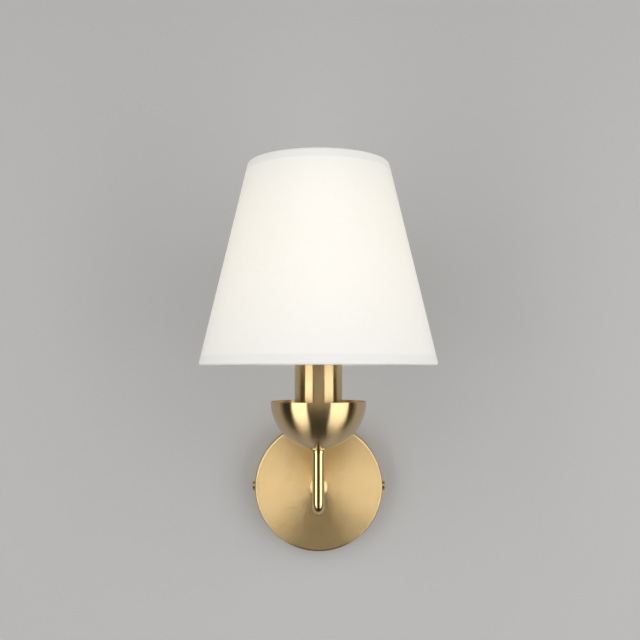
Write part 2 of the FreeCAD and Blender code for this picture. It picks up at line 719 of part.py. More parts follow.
def make_earth_tag():
    """A ring tag under the earth screw, with a crimped barrel that takes the earth lead."""
    body = new_body("earth_tag", x=-size["earth_out"])
    barrel = LEAD_R + size["barrel_wall"]
    ring = Drawing(body, "XZ_Plane", "ring", offset=size["bracket_thick"])
    ring.circle(0, 0, size["tag_dia"] / 2)
    ring.circle(0, 0, size["earth_dia"] / 2 + size["hole_clear"])
    extrude(body, "Pad", ring, size["tag_thick"])
    neck = Drawing(body, "XZ_Plane", "neck", offset=size["bracket_thick"])
    low = size["tag_dia"] / 2 - size["tag_thick"]
    high = size["barrel_low"] + size["barrel_length"]
    neck.outline(box_corners(0, (low + high) / 2, size["tag_width"], high - low))
    extrude(body, "Pad", neck, size["tag_thick"])
    tube = Drawing(body, "XY_Plane", "barrel", offset=size["barrel_low"])
    tube.circle(0, BRACKET_FACE - barrel, barrel)
    extrude(body, "Pad", tube, size["barrel_length"])
    hole = Drawing(body, "XY_Plane", "barrel_hole", offset=size["barrel_low"])
    hole.circle(0, BRACKET_FACE - barrel, LEAD_R)
    extrude(body, "Pocket", hole, size["barrel_length"], back=True)


def make_arm_tube():
    """A brass tube that leaves the backplate level and turns up to the cup in one bend."""
    body = new_body("arm_tube")
    path = Drawing(body, "YZ_Plane", "path")
    path.outline([
        corner(-size["arm_tail"], 0),
        corner(-size["axis_out"], 0, rounding=size["arm_bend"]),
        corner(-size["axis_out"], ARM_TOP),
    ], closed=False)
    section = Drawing(body, "XZ_Plane", "section", offset=size["arm_tail"])
    section.circle(0, 0, ARM_R)
    section.circle(0, 0, size["arm_bore"] / 2)
    pipe = body.newObject("PartDesign::AdditivePipe", "arm_tube_bent")
    pipe.Profile = section.finish()
    pipe.Spine = (path.finish(), ["Edge1", "Edge2", "Edge3"])


def make_arm_fixings():
    """The stack that holds the arm: a collar outside, and two washers, a nut and a bush inside."""
    edge = PLATE_FACE - size["collar_edge"]
    cone = edge - size["collar_cone"]
    ring = size["collar_ring_dia"] / 2
    flange = size["collar_dia"] / 2
    turned("arm_wall_collar", "arm", [
        corner(HOLE_R, PLATE_FACE),
        corner(HOLE_R, cone - size["collar_ring"]),
        corner(ring, cone - size["collar_ring"]),
        corner(ring, cone),
        corner(flange, edge),
        corner(flange, PLATE_FACE),
    ])
    turned("arm_backing_washer", "arm",
           ring_corners(HOLE_R, size["backing_dia"] / 2, PLATE_BACK, BACKING_BACK))
    turned("arm_lock_washer", "arm",
           ring_corners(HOLE_R, size["lock_dia"] / 2, BACKING_BACK, LOCK_BACK))
    nut = new_body("arm_nut")
    outline = Drawing(nut, "XZ_Plane", "outline", offset=-LOCK_BACK)
    outline.outline(hexagon_corners(size["nut_flats"]))
    outline.circle(0, 0, THREAD_R)
    extrude(nut, "Pad", outline, size["nut_thick"], back=True)
    inner = size["arm_bore"] / 2
    hole = inner - size["bush_wall"]
    tail = -size["arm_tail"]
    turned("arm_end_bush", "arm", [
        corner(hole, tail - size["bush_length"]),
        corner(inner, tail - size["bush_length"]),
        corner(inner, tail),
        corner(ARM_R, tail),
        corner(ARM_R, tail + size["bush_wall"]),
        corner(hole, tail + size["bush_wall"]),
    ])


def make_cup_collar():
    """The wall collar's twin, with a hollow seat that fits the round underside of the cup."""
    ring = size["collar_ring_dia"] / 2
    flange = size["collar_dia"] / 2
    seat = CUP_RIM - chord(CUP_R, flange)
    edge = seat - size["collar_edge"]
    cone = edge - size["collar_cone"]
    turned("arm_cup_collar", "lamp", [
        corner(HOLE_R, cone - size["collar_ring"]),
        corner(ring, cone - size["collar_ring"]),
        corner(ring, cone),
        corner(flange, edge),
        corner(flange, seat, arc=-CUP_R),
        corner(HOLE_R, CUP_RIM - chord(CUP_R, HOLE_R)),
    ])


def make_cup():
    """A half-round spun cup, open at the top, and the spacer that sits in it."""
    turned("cup", "lamp", [
        corner(HOLE_R, CUP_RIM - chord(CUP_R, HOLE_R), arc=CUP_R),
        corner(CUP_R, CUP_RIM),
        corner(CUP_INNER_R, CUP_RIM, arc=-CUP_INNER_R),
        corner(HOLE_R, CUP_RIM - chord(CUP_INNER_R, HOLE_R)),
    ])
    outer = size["spacer_dia"] / 2
    turned("cup_spacer", "lamp", [
        corner(HOLE_R, CUP_RIM - chord(CUP_INNER_R, HOLE_R), arc=CUP_INNER_R),
        corner(outer, CUP_RIM - chord(CUP_INNER_R, outer)),
        corner(outer, SLEEVE_LOW),
        corner(HOLE_R, SLEEVE_LOW),
    ])


def make_candle_sleeve():
    """A drawn brass sleeve with a floor, and the washer, long nut and stem inside it."""
    outer = size["sleeve_dia"] / 2
    inner = outer - size["sleeve_wall"]
    bevel = size["sleeve_bevel"]
    turned("candle_sleeve", "lamp", [
        corner(HOLE_R, SLEEVE_LOW),
        corner(outer - bevel, SLEEVE_LOW),
        corner(outer, SLEEVE_LOW + bevel),
        corner(outer, SLEEVE_TOP),
        corner(inner, SLEEVE_TOP),
        corner(inner, SLEEVE_FLOOR),
        corner(HOLE_R, SLEEVE_FLOOR),
    ])
    turned("sleeve_lock_washer", "lamp",
           ring_corners(HOLE_R, size["lock_dia"] / 2, SLEEVE_FLOOR, COUPLER_LOW))
    nut = new_body("coupling_nut", y=-size["axis_out"])
    outline = Drawing(nut, "XY_Plane", "outline", offset=COUPLER_LOW)
    outline.outline(hexagon_corners(size["coupler_flats"]))
    outline.circle(0, 0, THREAD_R)
    extrude(nut, "Pad", outline, size["coupler_length"])
    turned("lamp_stem", "lamp",
           ring_corners(size["stem_bore"] / 2, ARM_R, ARM_TOP + size["stem_gap"], STEM_TOP))


def make_lampholder_cap():
    """The lower half of the lampholder: a bossed cap that screws onto the stem."""
    outer = size["holder_dia"] / 2
    boss = size["boss_dia"] / 2
    inner = SPIGOT_R - size["spigot_wall"]
    step = HOLDER_LOW + size["boss_height"]
    body = turned("lampholder_cap", "lamp", [
        corner(THREAD_R, HOLDER_LOW),
        corner(boss, HOLDER_LOW),
        corner(boss, step),
        corner(outer, step + size["cap_dome"]),
        corner(outer, CAP_JOINT),
        corner(SPIGOT_R, CAP_JOINT),
        corner(SPIGOT_R, SPIGOT_TOP),
        corner(inner, SPIGOT_TOP),
        corner(inner, HOLDER_LOW + size["cap_slope_top"]),
        corner(boss, CAP_FLOOR),
        corner(THREAD_R, CAP_FLOOR),
    ])
    hole = Drawing(body, "XZ_Plane", "grub_hole")
    hole.circle(0, HOLDER_LOW + size["grub_height"], size["grub_dia"] / 2 + size["thread_clear"])
    extrude(body, "Pocket", hole, boss * 2, back=True)
    length = boss - ARM_R - size["thread_clear"]
    cylinder("stem_grub_screw", size["grub_dia"] / 2, length, y=-size["axis_out"] - ARM_R,
             z=HOLDER_LOW + size["grub_height"], turn=Rotation(Vector(1, 0, 0), 90))


def make_lampholder_shell():
    """The upper half: a shell in the sleeve, a flange on its top and a skirt for the shade ring."""
    inner = size["holder_bore"] / 2
    under = HOLDER_TOP - size["lip_thick"]
    turned("lampholder_shell", "lamp", [
        corner(inner, CAP_JOINT),
        corner(size["holder_dia"] / 2, CAP_JOINT),
        corner(size["holder_dia"] / 2, SLEEVE_TOP),
        corner(size["flange_dia"] / 2, SLEEVE_TOP),
        corner(size["flange_dia"] / 2, FLANGE_TOP),
        corner(size["skirt_dia"] / 2, FLANGE_TOP),
        corner(size["skirt_dia"] / 2, HOLDER_TOP),
        corner(size["lip_bore"] / 2, HOLDER_TOP),
        corner(size["lip_bore"] / 2, under),
        corner(inner, under),
    ])


def make_lampholder_inside():
    """The insulating core, its middle contact and the brass screw shell that the bulb fits."""
    stub = SPIGOT_R - size["spigot_wall"] - size["core_clear"]
    body = turned("lampholder_core", "lamp", [
        corner(0, STUB_LOW),
        corner(stub, STUB_LOW),
        corner(stub, SPIGOT_TOP),
        corner(size["holder_bore"] / 2 - size["core_clear"], SPIGOT_TOP),
        corner(size["holder_bore"] / 2 - size["core_clear"], CORE_TOP),
        corner(0, CORE_TOP),
    ])
    holes = Drawing(body, "XY_Plane", "lead_holes", offset=STUB_LOW)
    for way in (-1, 1):
        holes.circle(size["lead_hole_out"] * way, 0, size["lead_hole_dia"] / 2)
    extrude(body, "Pocket", holes, size["lead_hole_deep"], back=True)
    foot, heel, crown = size["contact_foot"], size["contact_heel"], size["contact_crown"]
    thick = size["contact_thick"]
    top = CORE_TOP + size["contact_rise"]
    contact = new_body("centre_contact", y=-size["axis_out"])
    leaf = Drawing(contact, "XZ_Plane", "leaf")
    leaf.outline([
        corner(-foot, CORE_TOP),
        corner(-heel, CORE_TOP),
        corner(-crown, top - thick),
        corner(crown, top - thick),
        corner(crown, top),
        corner(-crown, top),
        corner(-heel, CORE_TOP + thick),
        corner(-foot, CORE_TOP + thick),
    ])
    extrude(contact, "Pad", leaf, size["contact_width"], both=True)
    bore = size["socket_bore"] / 2
    turned("socket_shell", "lamp", [
        corner(size["socket_eye"] / 2, CORE_TOP),
        corner(bore + size["socket_wall"], CORE_TOP),
        corner(bore + size["socket_wall"], CORE_TOP + size["socket_height"]),
        corner(bore, CORE_TOP + size["socket_height"]),
        corner(bore, CORE_TOP + size["socket_wall"]),
        corner(size["socket_eye"] / 2, CORE_TOP + size["socket_wall"]),
    ])


def make_bulb():
    """A globe bulb: tip, insulator, screw cap, flared body, light board and opal globe."""
    tip = BULB_LOW + size["tip_height"]
    black = tip + size["insulator_height"]
    bevel = size["tip_height"] / 2
    turned("bulb_contact", "lamp", [
        corner(0, BULB_LOW),
        corner(size["tip_dia"] / 2 - bevel, BULB_LOW),
        corner(size["tip_dia"] / 2, BULB_LOW + bevel),
        corner(size["tip_dia"] / 2, tip),
        corner(0, tip),
    ])
    turned("bulb_insulator", "lamp", [
        corner(0, tip),
        corner(size["tip_dia"] / 2 + size["insulator_lip"], tip),
        corner(size["insulator_dia"] / 2, black),
        corner(0, black),
    ])
    cap = size["bulb_cap_dia"] / 2
    wall = size["bulb_cap_wall"]
    shoulder = black + size["bulb_ledge"]
    eye = size["insulator_dia"] / 2 - size["bulb_cap_fold"]
    turned("bulb_cap", "lamp", [
        corner(eye, black),
        corner(size["insulator_dia"] / 2 + wall, black),
        corner(cap, shoulder),
        corner(cap, BULB_CAP_TOP),
        corner(cap - wall, BULB_CAP_TOP),
        corner(cap - wall, shoulder + wall),
        corner(size["insulator_dia"] / 2, black + wall),
        corner(eye, black + wall),
    ])
    neck = size["bulb_neck_dia"] / 2
    plug = cap - wall
    inner = plug - size["bulb_body_wall"]
    neck_top = BULB_CAP_TOP + size["bulb_neck"]
    ledge = SEAM - size["board_thick"]
    board = SEAM_R - size["bulb_body_wall"]
    turned("bulb_housing", "lamp", [
        corner(inner, BULB_CAP_TOP - size["bulb_plug"]),
        corner(plug, BULB_CAP_TOP - size["bulb_plug"]),
        corner(plug, BULB_CAP_TOP),
        corner(neck, BULB_CAP_TOP),
        corner(neck, neck_top, arc=-size["bulb_flare"]),
        corner(SEAM_R, SEAM),
        corner(board, SEAM),
        corner(board, ledge),
        corner(board - size["bulb_ledge"], ledge, arc=size["bulb_flare"]),
        corner(inner, neck_top),
    ])
    turned("led_board", "lamp", [
        corner(0, ledge),
        corner(board, ledge),
        corner(board, SEAM),
        corner(0, SEAM),
    ])
    inside = GLOBE_R - size["bulb_wall"]
    turned("bulb_diffuser", "lamp", [
        corner(chord(inside, GLOBE_MIDDLE - SEAM), SEAM),
        corner(SEAM_R, SEAM, arc=GLOBE_R),
        corner(0, GLOBE_MIDDLE + GLOBE_R),
        corner(0, GLOBE_MIDDLE + inside, arc=-inside),
    ])


class ShadeEnd:
    """One end of the shade's section: the wire in its hem, and places counted from that wire.

    in_by counts inwards from the fabric's outer face, and along counts down the slope
    towards the edge, past the middle of the wire.
    """

    def __init__(self, edge_z, edge_r, way):
        fall = (size["shade_low_dia"] - size["shade_top_dia"]) / 2
        slope = root(fall * fall + size["shade_height"] * size["shade_height"])
        self.fall = fall / slope
        self.rise = size["shade_height"] / slope
        self.way = way
        self.roll = WIRE_R + size["layer_gap"] + size["fabric_thick"]
        lean = slope / size["shade_height"] + fall / size["shade_height"] * way
        self.wire_z = edge_z + self.roll * way
        self.wire_r = edge_r - self.roll * lean

    def at(self, in_by, along, **edge):
        along = as_size(along)
        out = self.roll - in_by
        r = self.wire_r + out * self.rise + along * self.fall * self.way
        z = self.wire_z + out * self.fall - along * self.rise * self.way
        return corner(r, z, **edge)

    def hem(self):
        """The fabric's edge: round the wire, back to the liner, and a tuck along it."""
        roll, inner = self.roll, WIRE_R + size["layer_gap"]
        thick, gap = size["fabric_thick"], size["layer_gap"]
        wrap = size["hem_wrap"]
        tuck_out = thick + gap + size["liner_thick"] + gap
        tuck_in = tuck_out + thick
        away = roll + roll * cosine(wrap)
        near = roll + inner * cosine(wrap)
        run = cosine(wrap) / sine(wrap)
        outer_end = -roll * sine(wrap)
        inner_end = -inner * sine(wrap)
        turn = -self.way
        return [
            self.at(0, 0, arc=roll * turn),
            self.at(roll, roll, arc=roll * turn),
            self.at(away, outer_end),
            self.at(tuck_in, outer_end - (away - tuck_in) * run),
            self.at(tuck_in, -size["hem_tuck"]),
            self.at(tuck_out, -size["hem_tuck"]),
            self.at(tuck_out, inner_end - (near - tuck_out) * run),
            self.at(near, inner_end, arc=-inner * turn),
            self.at(roll, inner, arc=-inner * turn),
            self.at(thick, 0),
        ]


def make_shade_skin(low, high):
    """The fabric in one section, rolled round both wires, and the stiff liner behind it."""
    sheet = turned("shade_fabric_sheet", "lamp", low.hem() + turn_back(high.hem()))
    outer = size["fabric_thick"] + size["layer_gap"]
    inner = outer + size["liner_thick"]
    stop = -size["liner_stop"]
    turned("shade_liner", "lamp", [
        low.at(outer, stop),
        high.at(outer, stop),
        high.at(inner, stop),
        low.at(inner, stop),
    ])
    return sheet


def turn_back(corners):
    """The same corners in the other order, with each arc given to the corner it now leaves."""
    arcs = [c["arc"] for c in corners]
    turned_back = []
    for i in reversed(range(len(corners))):
        arc = arcs[i - 1] if i > 0 else None
        turned_back.append(dict(corners[i], arc=None if arc is None else -arc))
    return turned_back


def make_ring_wire(name, end):
    body = new_body(name, y=-size["axis_out"])
    section = Drawing(body, "XZ_Plane", "section")
    section.circle(end.wire_r, end.wire_z, WIRE_R)
    feature = body.newObject("PartDesign::Revolution", f"{name}_turned")
    feature.Profile = section.finish()
    feature.ReferenceAxis = (section.sketch, ["V_Axis"])
    feature.Angle = 360
    return body


def make_hem_slit(name, low, way, angle):
    """The snip in the turned-in hem that lets one arm through to its wire."""
    width = size["wire_dia"] + size["arm_slit"] * 2
    slit = doc.addObject("Part::Box", name)
    slit.setExpression("Length", size["hem_tuck"].text)
    slit.setExpression("Width", width.text)
    slit.setExpression("Height", size["hem_snip"].text)
    slit.Placement.Rotation = Rotation(Vector(0, 0, 1), angle)
    inside = low.wire_r - size["hem_tuck"]
    x = inside * way.x + width / 2 * way.y
    y = inside * way.y - width / 2 * way.x - size["axis_out"]
    place(slit, x, y, low.wire_z - WIRE_R)
    return slit


def make_shade():
    """The shade: fitter ring, three arms and two rings of wire, with the liner and fabric on them."""
    low = ShadeEnd(SHADE_LOW, size["shade_low_dia"] / 2, 1)
    high = ShadeEnd(SHADE_TOP, size["shade_top_dia"] / 2, -1)
    ring = make_ring_wire("bottom_ring", low)
    make_ring_wire("top_ring", high)
    sheet = make_shade_skin(low, high)
    outer = size["fitter_dia"] / 2
    thick = size["fitter_thick"]
    rim_top = FITTER_LOW + size["fitter_rim"]
    turned("fitter_ring", "lamp", [
        corner(size["fitter_bore"] / 2, FITTER_LOW),
        corner(outer, FITTER_LOW),
        corner(outer, rim_top),
        corner(outer - thick, rim_top),
        corner(outer - thick, FITTER_LOW + thick),
        corner(size["fitter_bore"] / 2, FITTER_LOW + thick),
    ])
    start_r = outer - thick / 2
    start_z = FITTER_LOW + size["fitter_rim"] / 2 + thick / 2
    run = low.wire_r - start_r
    fall = start_z - low.wire_z
    length = root(run * run + fall * fall)
    rim = cylinder("fitter_rim_space", outer, size["fitter_rim"] * 4, y=-size["axis_out"],
                   z=FITTER_LOW - size["fitter_rim"])
    arms, slits = [], []
    count = int(size["fitter_arms"].value)
    for number in range(1, count + 1):
        angle = 90 + 360 / count * number
        way = Vector(math.cos(math.radians(angle)), math.sin(math.radians(angle)), 0)
        arm = cylinder(f"fitter_arm_wire_{number}", WIRE_R, length)
        arm.Placement.Rotation = Rotation(Vector(-way.y, way.x, 0), 90)
        arm.setExpression("Placement.Rotation.Angle", f"180 deg - atan({run.text} / {fall.text})")
        place(arm, start_r * way.x, start_r * way.y - size["axis_out"], start_z)
        arms.append(arm)
        slits.append(make_hem_slit(f"hem_slit_{number}", low, way, angle))
    ends = doc.addObject("Part::Fuse", "fitter_arm_ends")
    ends.Base = ring
    ends.Tool = rim
    coped = [cut(f"fitter_arm_{number}", arm, ends) for number, arm in enumerate(arms, start=1)]
    group("fitter_arms", coped)
    cut("shade_fabric", sheet, group("hem_slits", slits))


def make_shade_ring():
    """A ring with a grooved grip that screws down the skirt and holds the shade on the flange."""
    outer = size["ring_dia"] / 2
    bore = size["skirt_dia"] / 2 + size["joint_gap"]
    body = turned("shade_ring", "lamp", ring_corners(bore, outer, RING_LOW, RING_LOW + size["ring_height"]))
    flute = Drawing(body, "XY_Plane", "flute", offset=RING_LOW)
    flute.circle(outer + size["ring_flute_dia"] / 4, 0, size["ring_flute_dia"] / 2)
    groove = extrude(body, "Pocket", flute, size["ring_height"], back=True)
    repeat_round(body, groove, flute.sketch, "N_Axis", size["ring_flutes"])


def lead(name, points, radii):
    """An insulated wire: straight runs joined by tangent arcs, one radius to each turn."""
    points = [Vector(*(as_size(part).value for part in point)) for point in points]
    edges = []
    start = points[0]
    for before, here, after, radius in zip(points, points[1:], points[2:], radii):
        back = (before - here).normalize()
        ahead = (after - here).normalize()
        half = back.getAngle(ahead) / 2
        enter = here + back * (radius.value / math.tan(half))
        leave = here + ahead * (radius.value / math.tan(half))
        crown = (back + ahead).normalize()
        middle = here + crown * (radius.value / math.sin(half) - radius.value)
        edges.append(Part.LineSegment(start, enter).toShape())
        edges.append(Part.Arc(enter, middle, leave).toShape())
        start = leave
    edges.append(Part.LineSegment(start, points[-1]).toShape())
    path = Part.Wire(edges)
    section = Part.Wire(Part.Circle(points[0], points[1] - points[0], LEAD_R.value).toShape())
    item = doc.addObject("Part::Feature", name)
    item.Shape = path.makePipeShell([section], True, False)
    share = item.Shape.Volume / (math.pi * LEAD_R.value**2 * path.Length)
    print(f"{name}: {path.Length:.0f} mm long, volume is {share:.4f} of section times length")


def make_leads():
    """Live and neutral from the lampholder down through the arm, and earth to its tag."""
    bend = size["lead_bend"]
    line = -size["axis_out"]
    turn = size["lead_turn"]
    for name, side, pole in (("live_lead", 1, 1), ("neutral_lead", -1, 0)):
        out = size["lead_out"] * side
        lead(name, [
            (size["lead_hole_out"] * side, line, STUB_LOW + size["lead_hole_deep"]),
            (size["lead_hole_out"] * side, line, STUB_LOW - 2),
            (out, line, STEM_TOP + 2),
            (out, line, 0),
            (out, POLE_LINE, 0),
            (size["pole_pitch"] * pole, POLE_LINE, size["block_rise"] - size["lead_bend"] + 1),
            (size["pole_pitch"] * pole, POLE_LINE, size["block_rise"] + size["lead_in"]),
        ], [turn, turn, size["arm_bend"], bend, bend])
    low = size["block_rise"] - size["lead_in"]
    tag_y = BRACKET_FACE - LEAD_R - size["barrel_wall"]
    lead("earth_lead", [
        (-size["pole_pitch"], POLE_LINE, size["block_rise"] + size["lead_in"]),
        (-size["pole_pitch"], POLE_LINE, low),
        (-size["earth_out"], tag_y, low + 4),
        (-size["earth_out"], tag_y, size["barrel_low"] + 0.5),
    ], [turn, turn])


make_backplate()
make_wall_bracket()
make_side_screw("side_screw_left", -1)
make_side_screw("side_screw_right", 1)
make_terminal_block()
make_terminal_inserts()
make_terminal_screws()
make_pan_screw("block_screw", size["block_screw_dia"] / 2, size["block_screw_head"] / 2,
               BLOCK_FACE + size["groove_deep"], BLOCK_SCREW_X, BLOCK_MIDDLE)
make_pan_screw("earth_screw", size["earth_dia"] / 2, size["earth_head"] / 2,
               BRACKET_FACE - size["tag_thick"], -size["earth_out"], ZERO)
make_earth_tag()
make_arm_tube()
make_arm_fixings()
make_cup_collar()
make_cup()
make_candle_sleeve()
make_lampholder_cap()
make_lampholder_shell()
make_lampholder_inside()
make_bulb()
make_shade()
make_shade_ring()
make_leads()

PIECES = [
    "backplate", "wall_bracket", "side_screw_left", "side_screw_right",
    "terminal_block", "terminal_inserts", "terminal_screws", "block_screw",
    "earth_screw", "earth_tag", "earth_lead", "live_lead", "neutral_lead",
    "arm_tube", "arm_wall_collar", "arm_backing_washer", "arm_lock_washer", "arm_nut",
    "arm_end_bush", "arm_cup_collar", "cup", "cup_spacer", "candle_sleeve",
    "sleeve_lock_washer", "coupling_nut", "lamp_stem",
    "lampholder_cap", "stem_grub_screw", "lampholder_core", "centre_contact",
    "socket_shell", "lampholder_shell",
    "bulb_contact", "bulb_insulator", "bulb_cap", "bulb_housing", "led_board", "bulb_diffuser",
    "fitter_ring", "fitter_arms", "bottom_ring", "top_ring", "shade_liner", "shade_fabric",
    "shade_ring",
]

doc.recompute()
for item in doc.Objects:
    if "Invalid" in item.State or "Error" in item.State:
        raise RuntimeError(f"{item.Name} did not build")
pieces = [doc.getObject(name) for name in PIECES]
for item in pieces:
    item.Label = item.Name
    if item.Shape.isNull() or not item.Shape.isValid():
        raise RuntimeError(f"{item.Name} has no sound shape")

os.makedirs("parts", exist_ok=True)
for item in pieces:
    item.Shape.exportStep(f"parts/{item.Label}.step")
print(f"{len(pieces)} pieces written")
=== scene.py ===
import math

import bmesh
import bpy
from mathutils import Matrix, Vector


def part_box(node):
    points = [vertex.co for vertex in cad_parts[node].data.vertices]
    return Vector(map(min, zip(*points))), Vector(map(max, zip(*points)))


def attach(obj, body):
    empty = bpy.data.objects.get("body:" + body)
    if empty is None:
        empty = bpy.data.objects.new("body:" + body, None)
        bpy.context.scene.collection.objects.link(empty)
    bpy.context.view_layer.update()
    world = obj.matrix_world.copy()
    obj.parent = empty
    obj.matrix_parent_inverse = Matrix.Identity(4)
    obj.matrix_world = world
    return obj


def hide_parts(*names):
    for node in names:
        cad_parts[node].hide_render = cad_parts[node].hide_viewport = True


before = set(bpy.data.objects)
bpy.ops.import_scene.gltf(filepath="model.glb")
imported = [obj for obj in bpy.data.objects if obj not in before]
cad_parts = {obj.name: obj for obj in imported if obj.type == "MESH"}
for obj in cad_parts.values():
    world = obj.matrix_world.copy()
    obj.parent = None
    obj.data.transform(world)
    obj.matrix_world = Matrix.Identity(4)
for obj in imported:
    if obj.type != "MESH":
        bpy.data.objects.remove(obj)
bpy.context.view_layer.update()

# Backplate and the collar on it: spun brass, brushed in rings round the middle and lacquered.
# The brushing leaves fine grooves, so light from each side fans out over the plate into a bow
# tie. The plate is open to the wall at the back.


class Socket:
    """One output in a node tree. Sums on it add Math nodes, and node() adds any other node."""

    def __init__(self, tree, output=None):
        self.tree = tree
        self.output = output

    def node(self, kind, sockets=None, out=0, **settings):
        """Add a node, its settings first and then what goes into its sockets."""
        made = self.tree.nodes.new("ShaderNode" + kind)
        for name, setting in settings.items():
            setattr(made, name, setting)
        for name, value in (sockets or {}).items():
            if isinstance(value, Socket):
                self.tree.links.new(value.output, made.inputs[name])
            else:
                made.inputs[name].default_value = value
        return Socket(self.tree, made.outputs[out] if made.outputs else None)

    def part(self, name):
        """Another output of the same node."""
        return Socket(self.tree, self.output.node.outputs[name])

    def math(self, operation, *values):
        return self.node("Math", dict(enumerate(values)), operation=operation)

    def __add__(self, other):
        return self.math("ADD", self, other)

    def __sub__(self, other):
        return self.math("SUBTRACT", self, other)

    def __rsub__(self, other):
        return self.math("SUBTRACT", other, self)

    def __mul__(self, other):
        return self.math("MULTIPLY", self, other)

    def __truediv__(self, other):
        return self.math("DIVIDE", self, other)

    def __rtruediv__(self, other):
        return self.math("DIVIDE", other, self)

    def __pow__(self, other):
        return self.math("POWER", self, other)

    def __rpow__(self, other):
        return self.math("POWER", other, self)

    __radd__ = __add__
    __rmul__ = __mul__

    def rise(self, low, high):
        """0 below low, 1 above high, and a smooth slope between them."""
        sockets = {"Value": self, "From Min": low, "From Max": high}
        return self.node("MapRange", sockets, interpolation_type="SMOOTHSTEP")

    def tint(self, low, high):
        """The colour low where this is 0, and the colour high where it is 1."""
        return self.node("Mix", {0: self, 6: (*low, 1), 7: (*high, 1)}, out=2, data_type="RGBA")

    def noise(self, scale, detail=2.0, **sockets):
        """Cloudy noise on object coordinates, scale to the metre."""
        at = self.node("TexCoord", out="Object")
        return self.node("TexNoise", {"Vector": at, "Scale": scale, "Detail": detail, **sockets})

    def lines(self, along, scale, detail=3.0):
        """Noise that changes only with one number, for brushed or turned lines."""
        sockets = {"W": along, "Scale": scale, "Detail": detail, "Roughness": 0.6}
        return self.node("TexNoise", sockets, noise_dimensions="1D")

    def bump(self, height, depth):
        """A normal from a height of 0 to 1 that stands for a depth in metres."""
        return self.node("Bump", {"Height": height, "Distance": depth, "Filter Width": 0.01})


def new_material(name):
    material = bpy.data.materials.new(name)
    material.use_nodes = True
    material.node_tree.nodes.clear()
    return material, Socket(material.node_tree)


def surface(nodes, sockets):
    """Close a material with its one shader."""
    shader = nodes.node("BsdfPrincipled", sockets)
    nodes.node("OutputMaterial", {"Surface": shader})


def coat(material, *names):
    """Give a material to nodes of the frame."""
    for name in names:
        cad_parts[name].material_slots[0].material = material


BRASS = (0.81, 0.61, 0.32)
BRASS_DEEP = (0.69, 0.47, 0.20)
GROOVE_PITCH = 0.0003
GROOVE_DEPTH = 0.000032
GROOVE_WANDER = 5

plate_brass, nodes = new_material("plate_brass")
place = nodes.node("SeparateXYZ", {0: nodes.node("TexCoord", out="Object")})
x, y, z = (place.part(name) for name in "XYZ")
radius = (x * x + z * z) ** 0.5
run = radius - y
drift = nodes.lines(run, 1500)
grooves = nodes.math("SINE", run * (2 * math.pi / GROOVE_PITCH) + drift * GROOVE_WANDER) * 0.5 + 0.5
clouds = nodes.noise(45)
# The roughness stays below 0.27. A metal that crosses it was seen to render with smooth patches.
surface(nodes, {
    "Metallic": 1.0,
    "Base Color": (clouds * 0.6 + drift * 0.4).tint(BRASS_DEEP, BRASS),
    "Roughness": 0.21 + clouds * 0.06,
    "Coat Weight": 0.7,
    "Coat Roughness": 0.12,
    "Normal": nodes.bump(grooves, GROOVE_DEPTH),
})
coat(plate_brass, "backplate", "arm_wall_collar")

# Arm, the collar under the cup and the side screws: drawn and turned brass, polished.
# Polish leaves the reflections sharp, with only a faint waviness from the buffing wheel.
polished_brass, nodes = new_material("polished_brass")
waves = nodes.noise(120)
surface(nodes, {
    "Metallic": 1.0,
    "Base Color": waves.tint((0.80, 0.58, 0.27), (0.84, 0.63, 0.31)),
    "Roughness": 0.07 + nodes.noise(900) * 0.06,
    "Normal": nodes.bump(waves, 0.00002),
})
coat(polished_brass, "arm_tube", "arm_cup_collar", "side_screw_left", "side_screw_right")

# Cup and candle sleeve: sheet brass spun on a lathe and satin finished there.
# The finish runs round the lamp axis, so a reflection keeps its edges upright and sharp
# and spreads only up and down.
sleeve_low, sleeve_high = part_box("candle_sleeve")
LAMP_AXIS = Vector((0, (sleeve_low.y + sleeve_high.y) / 2, 0))


def lamp_radius(nodes):
    """Distance from the lamp axis, and height, as sockets."""
    turned = nodes.node("Mapping", {0: nodes.node("TexCoord", out="Object"), "Location": -LAMP_AXIS})
    place = nodes.node("SeparateXYZ", {0: turned})
    x, y, z = (place.part(name) for name in "XYZ")
    return (x * x + y * y) ** 0.5, z


satin_brass, nodes = new_material("satin_brass")
radius, z = lamp_radius(nodes)
turning = nodes.lines(z + radius, 1600)
surface(nodes, {
    "Metallic": 1.0,
    "Base Color": (nodes.noise(60) * 0.6 + turning * 0.4).tint(BRASS_DEEP, BRASS),
    "Roughness": 0.23 + turning * 0.04,
    "Anisotropic": 1.0,
    "Anisotropic Rotation": 0.25,
    "Coat Weight": 0.7,
    "Coat Roughness": 0.12,
    "Normal": nodes.bump(turning, 0.00003),
})
coat(satin_brass, "cup", "candle_sleeve")

# Inner brass: spacer, long nut, terminal cages, screw shell and middle contact.
# They are left as they came off the lathe or the press, dull and a little stained.
plain_brass, nodes = new_material("plain_brass")
stain = nodes.noise(260, detail=4.0)
surface(nodes, {
    "Metallic": 1.0,
    "Base Color": stain.tint((0.52, 0.36, 0.16), (0.76, 0.57, 0.29)),
    "Roughness": 0.28 + stain * 0.22,
    "Normal": nodes.bump(nodes.noise(1500), 0.00002),
})
coat(plain_brass, "cup_spacer", "coupling_nut", "terminal_inserts", "socket_shell", "centre_contact",
     "earth_screw")

